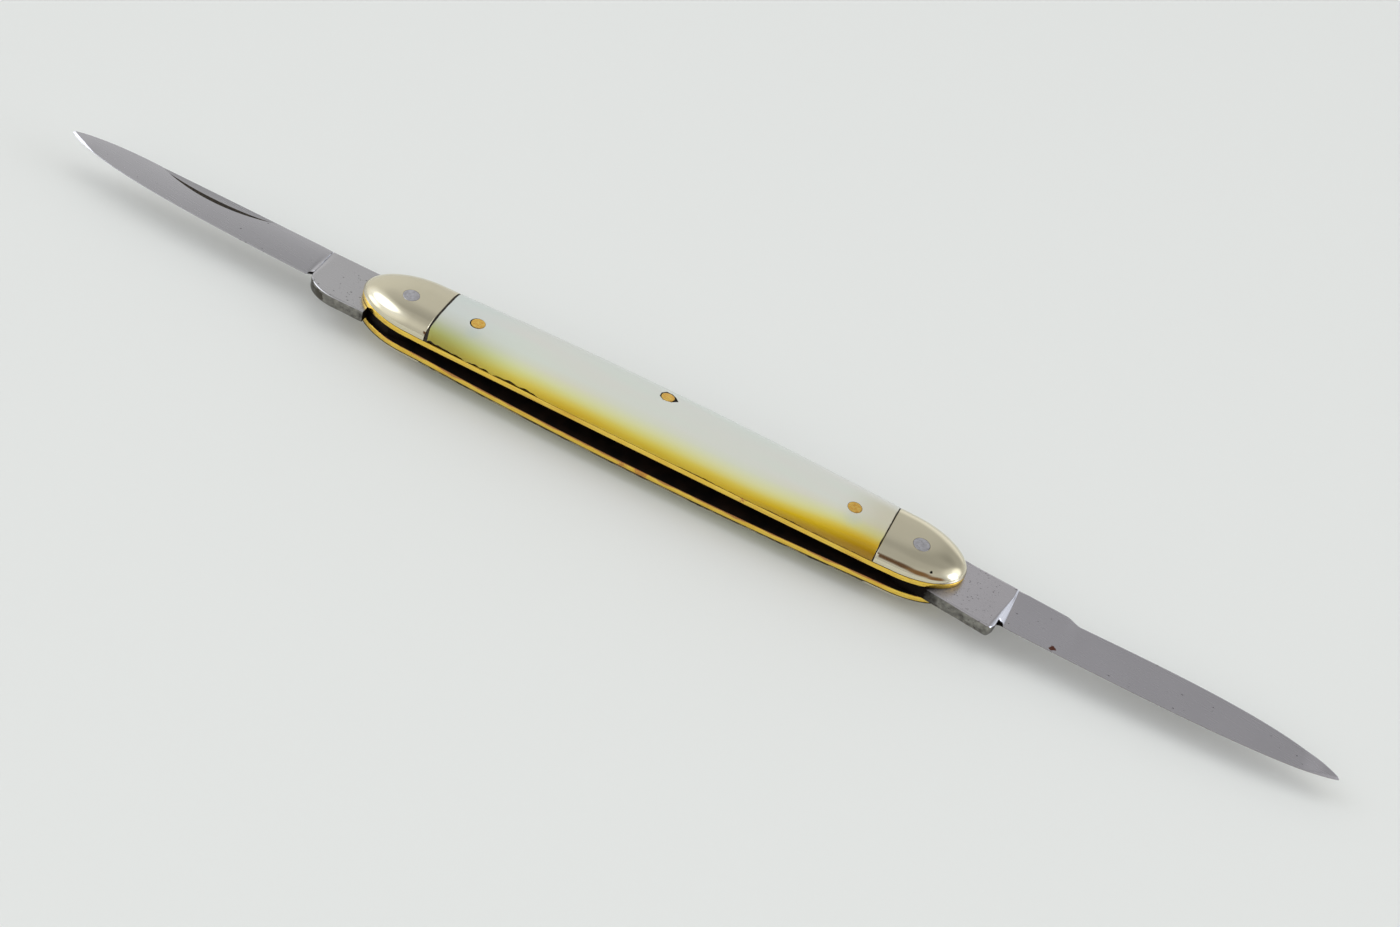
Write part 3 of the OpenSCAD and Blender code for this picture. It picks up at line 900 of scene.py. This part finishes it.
def spring_inner(x):
    """The spring's inner edge: flats on the tangs, hollows for the kicks, a belly at its pin."""
    pin_x, pin_y = spring_pin_place
    tang_top = pivot_y + 2.93
    hollow = tang_top + 0.8
    belly = pin_y - 1.3
    flat_from = 29.8
    hollow_to = 22.7
    belly_foot = 8
    belly_top = 4
    places = [-spring_end, -flat_from, -hollow_to, pin_x - belly_foot, pin_x - belly_top,
              pin_x + belly_top, pin_x + belly_foot, hollow_to, flat_from, spring_end]
    heights = [tang_top, tang_top, hollow, hollow, belly, belly, hollow, hollow, tang_top, tang_top]
    soft = [np.interp(x + d, places, heights) for d in (-0.4, 0.0, 0.4)]
    return float(np.mean(soft))


def make_backspring():
    side_gap = 0.003
    sections = []
    for x in steps(-spring_end, spring_end, 0.5):
        high = slot_at(x) - side_gap
        back = width_at(x)
        inner = spring_inner(x)
        quarter = [(back - inset, high - drop) for drop, inset in rubbed(0.06)]
        section = quarter[::-1] + [(y, -z) for y, z in quarter]
        section += [(inner, -high), (inner, high)]
        sections.append([(x, y, z) for y, z in section])
    kinds = [0] * (len(sections[0]) - 3) + [1, 1, 1]
    x, y = spring_pin_place
    mesh = placed(cut(loft(sections, kinds), through(x, y, spring_pin_radius + snug_gap), 1))
    piece("backspring_dressed", mesh, [spring_metal, tarnish_and_shade], "spring_steel", "handle", "backspring")


def pin_shape(x, y, radius, low, high):
    """A pin between two heights that may follow the crown, its ends' rims a little rubbed."""
    rim = 0.03
    rows = [(0.0, 0.0)] + [(radius * t, 0.0) for t in (0.3, 0.6, 0.85)]
    rows += [(radius - rim, 0.0), (radius - 0.4 * rim, 0.3 * rim), (radius, rim)]
    loops = []
    for end, way, order in ((low, -1, rows), (high, 1, rows[::-1])):
        for r, drop in order:
            loops.append([(px, py, end(px, py) - way * drop) for px, py in ring(x, y, r, 48)])
    return loft(loops)


def make_pins():
    proud = 0.004

    def crown(x, y, side=MARK_SIDE):
        return crown_at(x, y, side) + proud

    def sunk_crown(x, y):
        return -crown(x, y, PILE_SIDE)

    for end, word in ((MASTER_END, "master"), (PEN_END, "pen")):
        mesh = placed(pin_shape(end * pivot_x, pivot_y, pivot_pin_radius, sunk_crown, crown))
        piece(f"{word}_pivot_pin_dressed", mesh, [pin_steel], "pin_steel", "handle", f"{word}_pivot_pin")
    x, y = spring_pin_place
    mesh = placed(pin_shape(x, y, spring_pin_radius, sunk_crown, crown))
    piece("spring_pin_dressed", mesh, [pin_brass], "pin_brass", "handle", "spring_pin")
    x, y = scale_pin_place
    for side, word in SIDES:
        pair = [pin_shape(end * x, y, scale_pin_radius, lambda px, py: slot_at(x) + 0.02, crown)
                for end in (MASTER_END, PEN_END)]
        mesh = placed(joined(*pair), side)
        piece(f"{word}_scale_pins_dressed", mesh, [pin_brass], "pin_brass", "handle", f"{word}_scale_pins")


# Blades

def curve(start, handles, finish, count=40):
    """Points of a curve. Each handle is a share of the way along and a height above the start."""
    corners = [Vector(start)]
    corners += [Vector((lerp(start[0], finish[0], share), start[1] + rise)) for share, rise in handles]
    corners.append(Vector(finish))
    points = []
    for i in range(count + 1):
        t = i / count
        a, b, c, d = corners
        points.append(a * (1 - t) ** 3 + b * 3 * t * (1 - t) ** 2 + c * 3 * t * t * (1 - t) + d * t ** 3)
    return [(p.x, p.y) for p in points]


def arc(radius, finish, way):
    """A tang's butt as (u, v) points, from its far side to an angle short of its top or foot."""
    return [(-radius * math.cos(math.radians(a)), way * radius * math.sin(math.radians(a)))
            for a in steps(0, finish, 6)]


tang_radius = 2.9
tang_half = 0.77
tang_gap = 0.03
crink = 0.18
root_thickness = 1.44
tip_thickness = 0.25
ground_step = 0.02
edge_half = 0.04

# The last millimetres of a blade: a thicker point and a wider keen bevel
point_run = 4.4
point_fade = 2.8
point_extra = 0.15
point_edge_half = 0.2

# The keen bevel: half its edge's thickness, its tilt, and how many times steeper it is on the
# blade and on the point
keen_edge = 0.012
bevel_tilt = math.tan(math.radians(21))
bevel_steeper = (1.6, 1.75)


def along(points, u):
    """The height of a line of (u, height) points at u."""
    return float(np.interp(u, *zip(*points)))


class Blade:
    """One blade about its pivot: u runs to the point, v to the spine, z to its outer face."""

    def __init__(self, length, spine, edge, ricasso, plunge, belly, fine):
        self.length = length
        self.spine = spine
        self.edge = edge
        self.ricasso = ricasso
        self.plunge = plunge
        self.belly = belly
        self.fine = fine

    def stations(self):
        """Places along the blade: every corner of its outline, with closer ones where it turns."""
        places = [p[0] for p in self.spine + self.edge]
        places += steps(-tang_radius, self.length, 0.3)
        for start, finish in self.fine:
            places += steps(start, finish, 0.05)
        places.sort()
        kept = [places[0]]
        for u in places:
            if u - kept[-1] > 0.012:
                kept.append(u)
        kept[-1] = self.length
        return kept

    def faces_at(self, u, v):
        """Heights of the outer and inner faces at a point."""
        root = self.ricasso - 1
        f = (u - root) / (self.length - root)
        near_point = ease((u - self.length + point_run) / point_fade)
        thick = lerp(root_thickness, tip_thickness, max(0.0, f)) + point_extra * near_point
        outer = tang_half - ground_step + crink * max(0.0, f)
        high = along(self.spine, u)
        low = along(self.edge, u)
        across = max(0.0, high - v) / max(0.05, high - low)
        keen = min(lerp(edge_half, point_edge_half, near_point), thick / 2)
        half = lerp(thick / 2, keen, across ** self.belly)
        inner_half = lerp(thick / 2, keen, across)
        reach = 0.1
        slope = (along(self.edge, u + reach) - along(self.edge, u - reach)) / (2 * reach)
        inset = (v - low) / math.hypot(1, slope)
        bevel = keen_edge + max(0.0, inset) * bevel_tilt * lerp(*bevel_steeper, near_point)
        ground = self.plunge(u, v)
        middle = outer - thick / 2
        return (lerp(tang_half, middle + min(half, bevel), ground),
                lerp(-tang_half, middle - min(inner_half, bevel), ground))

    def section(self, u):
        """The blade across at u, from its edge over the outer face and back."""
        high = along(self.spine, u)
        low = along(self.edge, u)
        span = high - low
        rim = 0.12 + 0.1 * window(u, 6.5, self.ricasso - 0.1, 1.5)
        size = min(1.0, span / 1.5)
        fringe = [rim * size * k for k in (0.0, 0.16, 0.38, 1.0, 1.35, 2.2)]
        inner = [lerp(fringe[-1], span - fringe[-1], i / 40) for i in range(1, 40)]
        offsets = fringe + inner + [span - d for d in fringe[::-1]]
        outer_side = []
        inner_side = []
        for d in offsets:
            v = low + d
            top, bottom = self.faces_at(u, v)
            reach = min(rim * size, 0.45 * (top - bottom))
            short = max(0.0, reach - min(d, span - d))
            drop = reach - math.sqrt(reach ** 2 - short ** 2)
            outer_side.append((u, v, top - drop))
            inner_side.append((u, v, bottom + drop))
        return outer_side + inner_side[::-1]

    def mesh(self):
        shape = loft([self.section(u) for u in self.stations()])
        return cut(shape, through(0, 0, pivot_pin_radius + tang_gap))

    def nick(self, u0, v0, face_v):
        """The cutter of a crescent nail nick, and of the dark crease along its wall: dirt, and painted
        shade.
        Its depth is below the blade's face at face_v."""
        width = 15.4
        crease = 0.8
        bow = 1.44
        depth = 0.2
        sink = 0.06
        radius = ((width / 2) ** 2 + bow ** 2) / (2 * bow)
        floor = self.faces_at(u0, face_v)[0] - sink - depth
        climb = 0.8 * depth / bow
        far_slope = depth / 0.7
        sections = []
        for du in steps(-width / 2 - 0.8, width / 2 + 0.8, 0.2):
            u = u0 + du
            v = v0 + radius - math.sqrt(radius ** 2 - du ** 2)
            trough = v + crease * max(0.0, 1 - (du / (width / 2)) ** 2)
            low = floor + climb * (v - v0)
            sections.append([(u, v, low), (u, trough, low), (u, v0 + 3, low + far_slope * (v0 + 3 - trough)),
                             (u, v0 + 3, 2 * top_z), (u, v, 2 * top_z)])
        # The crease's floor and the steep wall take the dark dirt material, as dirt and as painted shade
        return loft(sections, [1, 0, 0, 0, 1])


def master_plunge(u, v):
    """0 on the tang and 1 on the ground blade: a slanting line with a short sweep."""
    line = 11.6 - 0.1 * v
    return ease((u - line) / 1.15)


def pen_plunge(u, v):
    """As the master's, but a hollow that widens towards the kick."""
    up = min(1.0, max(0.0, (v + 3.3) / 5.3))
    start = lerp(10.2, 11.4, up)
    width = lerp(1.75, 0.3, up)
    return ease((u - start) / width)


def master_blade():
    length = 46.6
    ricasso = 12.05
    corner = (7.95, -3.04)
    turn = []
    for a in steps(0, 86, 6):
        out = math.radians(a)
        turn.append((corner[0] + (ricasso - corner[0]) * math.sin(out),
                     -0.42 - (-0.42 - corner[1]) * math.cos(out)))
    spine = arc(tang_radius, 90, 1)
    spine += [(1.73, 2.9), (1.78, 4.1), (11.35, 4.07), (36.0, 4.17)]
    spine += curve((36.0, 4.17), [(0.42, 0.15), (0.9, -0.45)], (length, 2.86))[1:]
    edge = arc(tang_radius, 90, -1) + [(4.2, -3.0)] + turn + [(12.12, -0.1), (12.2, -0.04), (12.9, -0.72)]
    edge += curve((12.9, -0.72), [(0.42, 0.0), (0.86, 0.3)], (length, 2.74))[1:]
    return Blade(length, spine, edge, ricasso, master_plunge, 1.7, [(11.0, 13.4), (length - 1.5, length)])


def pen_blade():
    length = 50.7
    ricasso = 11.7
    spine = arc(tang_radius, 90, 1)
    spine += [(1.73, 2.9), (1.78, 4.2), (12.0, 3.57), (17.4, 3.42)]
    spine += curve((17.4, 3.42), [(0.45, -0.05), (0.55, -0.55)], (19.4, 2.8), 10)[1:]
    spine += curve((19.4, 2.8), [(0.34, 0.5), (0.83, 1.4)], (length, 0.24))[1:]
    foot = (1.87, -2.98)
    edge = arc(tang_radius, 90, -1) + [foot, (10.15, -4.04), (10.4, -4.0), (10.6, -3.85), (10.86, -3.3)]
    edge += [(10.98, -2.05), (11.04, -1.95), (11.12, -2.0), (11.75, -2.24), (12.1, -2.26)]
    edge += curve((12.1, -2.26), [(0.36, 0.0), (0.86, 0.0)], (length, 0.16))[1:]
    fine = [(10.0, 13.2), (17.0, 19.8), (length - 1.5, length)]
    return Blade(length, spine, edge, ricasso, pen_plunge, 1.15, fine)


def tang_recess():
    """The cutter of the master's tang inside the handle, to just within the liners."""
    start = 0.8
    finish = 4.15
    inset = 0.45
    border = [(u, max(-tang_radius, inset - width_at(pivot_x + u) - pivot_y))
              for u in steps(start, finish, 0.3)]
    return prism([(start, -4.0)] + border + [(finish, -4.0)], -2 * top_z, 2 * top_z)


def make_blades():
    master = master_blade()
    mesh = cut(master.mesh(), tang_recess(), 2)
    mesh = cut(mesh, master.nick(27.3, 2.54, 3.4))
    mesh = placed(mesh, MARK_SIDE, MASTER_END, (-pivot_x, pivot_y))
    steels = [master_steel, dirt_and_shade, tarnish_and_shade]
    piece("master_blade_dressed", mesh, steels, "blade_steel", "master", "master_blade", sharp=55)
    pen = pen_blade()
    mesh = cut(pen.mesh(), pen.nick(30.0, 1.6, 2.4))
    mesh = placed(mesh, PILE_SIDE, PEN_END, (pivot_x, pivot_y))
    piece("pen_blade_dressed", mesh, [pen_steel, dirt_and_shade], "blade_steel", "pen", "pen_blade", sharp=55)


# Surroundings

def make_camera():
    """The photograph's viewpoint: angles in degrees, distance and target in millimetres."""
    yaw = math.radians(-10.776)
    pitch = math.radians(42.262)
    roll = math.radians(18.824)
    distance = 244.242
    target = Vector((5.721, -0.827, 3.91))
    ahead = Vector((math.sin(yaw) * math.cos(pitch), math.cos(yaw) * math.cos(pitch), -math.sin(pitch)))
    right = Vector((math.cos(yaw), -math.sin(yaw), 0.0))
    up = right.cross(ahead)
    turned_right = right * math.cos(roll) + up * math.sin(roll)
    turned_up = up * math.cos(roll) - right * math.sin(roll)
    lens = bpy.data.cameras.new("camera")
    lens.sensor_width = 36.0
    lens.lens = 56.42
    lens.clip_start = 0.01
    camera = bpy.data.objects.new("camera", lens)
    axes = Matrix((turned_right, turned_up, -ahead)).transposed()
    camera.matrix_world = Matrix.Translation((target - ahead * distance) * MM) @ axes.to_4x4()
    bpy.context.scene.collection.objects.link(camera)
    bpy.context.scene.camera = camera


def make_floor():
    mesh = bpy.data.meshes.new("floor")
    reach = 2.0
    mesh.from_pydata([(-reach, -reach, 0), (reach, -reach, 0), (reach, reach, 0), (-reach, reach, 0)],
                     [], [(0, 1, 2, 3)])
    mesh.materials.append(pale_floor())
    floor = bpy.data.objects.new("floor", mesh)
    bpy.context.scene.collection.objects.link(floor)


def direction(azimuth, elevation):
    """The way from the knife to an azimuth, from +Y towards +X, and a height, in degrees."""
    a = math.radians(azimuth)
    e = math.radians(elevation)
    return Vector((math.sin(a) * math.cos(e), math.cos(a) * math.cos(e), math.sin(e)))


def soft_light(name, azimuth, elevation, distance, size, radiance):
    """A round soft lamp that lights the knife and leaves no reflection."""
    lamp = bpy.data.lights.new(name, "AREA")
    lamp.shape = "DISK"
    lamp.size = size
    lamp.energy = radiance * math.pi * (size / 2) ** 2 * math.pi
    o = bpy.data.objects.new(name, lamp)
    way = direction(azimuth, elevation)
    o.location = way * distance
    o.rotation_euler = (-way).to_track_quat("-Z", "Y").to_euler()
    o.visible_glossy = False
    bpy.context.scene.collection.objects.link(o)


def tent_part(tree, toward, azimuth, elevation, full, fade, change):
    """A change round one direction: full and fade are half widths in degrees."""
    facing = put(tree, "VectorMath", {0: toward, 1: direction(azimuth, elevation)}, operation="DOT_PRODUCT")
    limits = [math.cos(math.radians(a)) for a in (fade, full)]
    return spans(tree, facing.outputs["Value"], *limits, 0.0, change, "SMOOTHSTEP")


def make_lights():
    """A pale tent with bright windows at its sides, and soft lamps that leave no reflection."""
    world = bpy.data.worlds.new("tent")
    bpy.context.scene.world = world
    world.use_nodes = True
    tree = world.node_tree
    tree.nodes.clear()
    toward = put(tree, "TexCoord").outputs["Generated"]
    z = put(tree, "SeparateXYZ", {0: toward}).outputs[2]
    level = spans(tree, z, 0.57, 0.87, 0.62, 0.51)
    # Brighter or darker parts of the tent: azimuth, elevation, full and fading half widths, change
    for azimuth, elevation, full, fade, change in (
            (-60, 20, 15, 55, 0.16), (-112, 28, 18, 46, 0.45), (-105, 41, 12, 21, 1.45),
            (92, 21, 9, 16, 2.0), (92, 3, 8, 15, 1.2), (72, 25, 8, 20, 0.6), (84, 25, 12, 32, 0.35),
            (8, 0, 14, 28, 0.35), (-110, 8, 7, 16, 0.9), (-42, 58, 8, 20, -0.1), (30, 32, 8, 28, -0.15),
            (40, 62, 12, 30, -0.08)):
        level = sums(tree, "ADD", level, tent_part(tree, toward, azimuth, elevation, full, fade, change))
    # The windows are a little bluer, and brown shadows stand in front
    colour = (1.0, 1.0, 1.0, 1.0)
    for azimuth, elevation, full, fade, *tone in (
            (-104, 36, 14, 34, 0.97, 1.0, 1.08), (92, 14, 14, 34, 0.97, 1.0, 1.07),
            (174, 32, 7, 19, 0.22, 0.12, 0.07), (152, 22, 8, 18, 0.38, 0.21, 0.1),
            (131, 9, 8, 17, 0.4, 0.22, 0.11)):
        share = tent_part(tree, toward, azimuth, elevation, full, fade, 1.0)
        colour = mixed(tree, share, colour, (*tone, 1.0))
    glow = put(tree, "Background", {"Color": colour, "Strength": level})
    out = put(tree, "OutputWorld")
    tree.links.new(glow.outputs[0], out.inputs[0])
    soft_light("overhead lamp", 0, 82, 1.0, 0.8, 0.9)
    soft_light("front lamp", 178, 34, 0.9, 0.6, 1.2)


make_camera()
make_floor()
make_lights()
make_liners()
make_backspring()
make_scales()
make_bolsters()
make_pins()
make_blades()
bpy.context.scene.view_settings.view_transform = "Standard"
